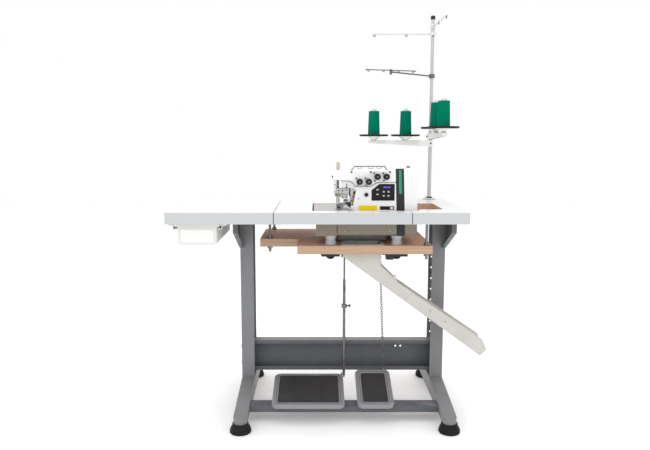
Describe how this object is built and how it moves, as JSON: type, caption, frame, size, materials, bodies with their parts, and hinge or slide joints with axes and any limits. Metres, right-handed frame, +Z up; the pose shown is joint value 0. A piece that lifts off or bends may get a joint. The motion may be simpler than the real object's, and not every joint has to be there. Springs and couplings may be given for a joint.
{
  "type": "overlock sewing machine workstation",
  "caption": "Industrial overlock sewing head sunk in a laminate table on a column stand, with treadles, a drawer, a waste chute and a thread stand with cones.",
  "frame": {"origin": "on the floor, under the middle of the whole machine's bounding box", "axes": "+Z up, -Y towards the operator, +X to the operator's right"},
  "size_m": [1.158, 0.634, 1.5292],
  "materials": {
    "stand_paint": "satin grey powder paint",
    "pad_rubber": "moulded black rubber",
    "zinc_steel": "zinc plated",
    "treadle_paint": "grey paint, worn at the edges",
    "mat_rubber": "ribbed black rubber",
    "black_plastic": "fine grain black",
    "laminate": "white laminate with a pale edge band",
    "beech": "bare wood board",
    "drawer_grey": "satin off-white",
    "chute_paint": "satin cream grey",
    "head_enamel": "white enamel",
    "band_plastic": "dark grey",
    "green_plastic": "glossy green",
    "plate_steel": "ground steel",
    "bright_steel": "polished",
    "stator_iron": "laminated core",
    "beige_plastic": "beige",
    "key_plastic": "grey soft key",
    "pole_paint": "light grey",
    "white_plastic": "white moulding",
    "cushion_rubber": "moulded light grey rubber",
    "black_paint": "satin black paint",
    "thread": "green wound thread"
  },
  "bodies": {
    "frame": {"feet": "stand_paint", "rubber_feet": "pad_rubber", "columns": "stand_paint", "table_arms": "stand_paint", "rear_beam": "stand_paint", "treadle_bar": "stand_paint", "stand_bolts": "zinc_steel", "speed_unit": "black_plastic", "table_top": "laminate", "panel_rests": "zinc_steel", "work_board": "beech", "hanger_rods": "zinc_steel", "drawer_runners": "zinc_steel", "waste_chute": "chute_paint", "head_cushions": "cushion_rubber", "under_board_plates": "black_paint", "oil_pan": "drawer_grey", "head_casting": "head_enamel", "upper_cover": "head_enamel", "motor_cover": "head_enamel", "trim_band": "band_plastic", "green_insert": "green_plastic", "control_panel": "black_plastic", "cloth_plate": "plate_steel", "needle_plate": "plate_steel", "loopers_and_knives": "bright_steel", "motor_stator": "stator_iron", "thread_guides": "bright_steel", "stand_pole": "pole_paint", "spool_arms": "white_plastic", "spool_dishes": "black_plastic", "thread_cones": "thread", "pole_guides": "zinc_steel"},
    "speed_treadle": {"speed_treadle": "treadle_paint", "speed_treadle_mat": "mat_rubber"},
    "lift_treadle": {"lift_treadle": "treadle_paint", "lift_treadle_mat": "mat_rubber"},
    "front_cover": {"front_cover": "head_enamel", "cover_knob": "black_plastic"},
    "main_shaft": {"main_shaft": "bright_steel", "hand_wheel": "black_plastic"},
    "pitman_rod": {"pitman_rod": "zinc_steel"},
    "speed_lever": {"speed_lever": "zinc_steel"},
    "lift_chain": {"lift_chain": "zinc_steel"},
    "lift_lever": {"lift_lever": "zinc_steel"},
    "lift_out_panel": {"lift_out_panel": "laminate"},
    "drawer": {"drawer": "drawer_grey"},
    "needle_bar": {"needle_bar": "bright_steel"},
    "presser_foot": {"presser_foot": "bright_steel"},
    "pressure_screw": {"pressure_screw": "beige_plastic"},
    "key_1": {"key_1": "key_plastic"},
    "key_2": {"key_2": "key_plastic"},
    "key_3": {"key_3": "key_plastic"},
    "key_4": {"key_4": "key_plastic"},
    "key_5": {"key_5": "key_plastic"},
    "key_6": {"key_6": "key_plastic"},
    "tension_knob_1": {"tension_knob_1": "black_plastic"},
    "tension_knob_2": {"tension_knob_2": "black_plastic"},
    "tension_knob_3": {"tension_knob_3": "black_plastic"},
    "tension_knob_4": {"tension_knob_4": "black_plastic"}
  },
  "joints": [
    {"name": "speed_treadle_tilt", "type": "hinge", "parent": "frame", "child": "speed_treadle", "pos_m": [-0.082, -0.171, 0.076], "axis": [-1, 0, 0], "range_deg": [-6, 8], "stiffness_Nm_per_rad": 20, "springref_deg": -4.01},
    {"name": "pitman_rod_slide", "type": "slide", "parent": "frame", "child": "pitman_rod", "axis": [0, 0, 1], "range_m": [-0.02292, 0.01744]},
    {"name": "speed_lever_swing", "type": "hinge", "parent": "frame", "child": "speed_lever", "pos_m": [0.046, 0.066, 0.596], "axis": [1, 0, 0], "range_deg": [-12.27, 16.2]},
    {"name": "lift_treadle_tilt", "type": "hinge", "parent": "frame", "child": "lift_treadle", "pos_m": [0.164, -0.171, 0.076], "axis": [-1, 0, 0], "range_deg": [0, 10], "stiffness_Nm_per_rad": 8, "springref_deg": -14.32},
    {"name": "lift_chain_slide", "type": "slide", "parent": "frame", "child": "lift_chain", "axis": [0, 0, 1], "range_m": [-0.02362, 0.001]},
    {"name": "lift_lever_swing", "type": "hinge", "parent": "frame", "child": "lift_lever", "pos_m": [0.203, 0.05077, 0.59], "axis": [1, 0, 0], "range_deg": [-0.5, 15.23]},
    {"name": "presser_foot_lift", "type": "slide", "parent": "frame", "child": "presser_foot", "axis": [0, 0, 1], "range_m": [0, 0.0062]},
    {"name": "lift_out_panel_lift", "type": "slide", "parent": "frame", "child": "lift_out_panel", "axis": [0, -0.5, 0.866], "range_m": [0, 0.09]},
    {"name": "drawer_slide", "type": "slide", "parent": "frame", "child": "drawer", "axis": [0, -1, 0], "range_m": [0, 0.25]},
    {"name": "front_cover_tilt", "type": "hinge", "parent": "frame", "child": "front_cover", "pos_m": [0.126, -0.149, 0.696], "axis": [1, 0, 0], "range_deg": [0, 12]},
    {"name": "needle_bar_stroke", "type": "slide", "parent": "frame", "child": "needle_bar", "axis": [0, 0, 1], "range_m": [-0.018, 0.007]},
    {"name": "main_shaft_turn", "type": "hinge", "parent": "frame", "child": "main_shaft", "pos_m": [0.201, -0.038, 0.8], "axis": [1, 0, 0], "continuous": true},
    {"name": "pressure_screw_turn", "type": "hinge", "parent": "frame", "child": "pressure_screw", "pos_m": [0.027, -0.09, 0.922], "axis": [0, 0, 1], "continuous": true},
    {"name": "key_1_press", "type": "slide", "parent": "frame", "child": "key_1", "axis": [0, 1, 0], "range_m": [0, 0.0008], "stiffness_N_per_m": 600, "springref_m": -0.001},
    {"name": "key_2_press", "type": "slide", "parent": "frame", "child": "key_2", "axis": [0, 1, 0], "range_m": [0, 0.0008], "stiffness_N_per_m": 600, "springref_m": -0.001},
    {"name": "key_3_press", "type": "slide", "parent": "frame", "child": "key_3", "axis": [0, 1, 0], "range_m": [0, 0.0008], "stiffness_N_per_m": 600, "springref_m": -0.001},
    {"name": "key_4_press", "type": "slide", "parent": "frame", "child": "key_4", "axis": [0, 1, 0], "range_m": [0, 0.0008], "stiffness_N_per_m": 600, "springref_m": -0.001},
    {"name": "key_5_press", "type": "slide", "parent": "frame", "child": "key_5", "axis": [0, 1, 0], "range_m": [0, 0.0008], "stiffness_N_per_m": 600, "springref_m": -0.001},
    {"name": "key_6_press", "type": "slide", "parent": "frame", "child": "key_6", "axis": [0, 1, 0], "range_m": [0, 0.0008], "stiffness_N_per_m": 600, "springref_m": -0.001},
    {"name": "tension_knob_1_turn", "type": "hinge", "parent": "frame", "child": "tension_knob_1", "pos_m": [0.101, -0.158, 0.882], "axis": [0, -1, 0], "continuous": true},
    {"name": "tension_knob_2_turn", "type": "hinge", "parent": "frame", "child": "tension_knob_2", "pos_m": [0.133, -0.158, 0.882], "axis": [0, -1, 0], "continuous": true},
    {"name": "tension_knob_3_turn", "type": "hinge", "parent": "frame", "child": "tension_knob_3", "pos_m": [0.164, -0.158, 0.9], "axis": [0, -1, 0], "continuous": true},
    {"name": "tension_knob_4_turn", "type": "hinge", "parent": "frame", "child": "tension_knob_4", "pos_m": [0.196, -0.158, 0.9], "axis": [0, -1, 0], "continuous": true}
  ],
  "couplings": [
    {"joint": "pitman_rod_slide", "follows": "speed_treadle_tilt", "m_per_rad": -0.157},
    {"joint": "speed_lever_swing", "follows": "speed_treadle_tilt", "ratio": 1.9625},
    {"joint": "lift_chain_slide", "follows": "lift_treadle_tilt", "m_per_rad": -0.12961},
    {"joint": "lift_lever_swing", "follows": "lift_treadle_tilt", "ratio": 1.4728},
    {"joint": "presser_foot_lift", "follows": "lift_treadle_tilt", "m_per_rad": 0.034377}
  ]
}
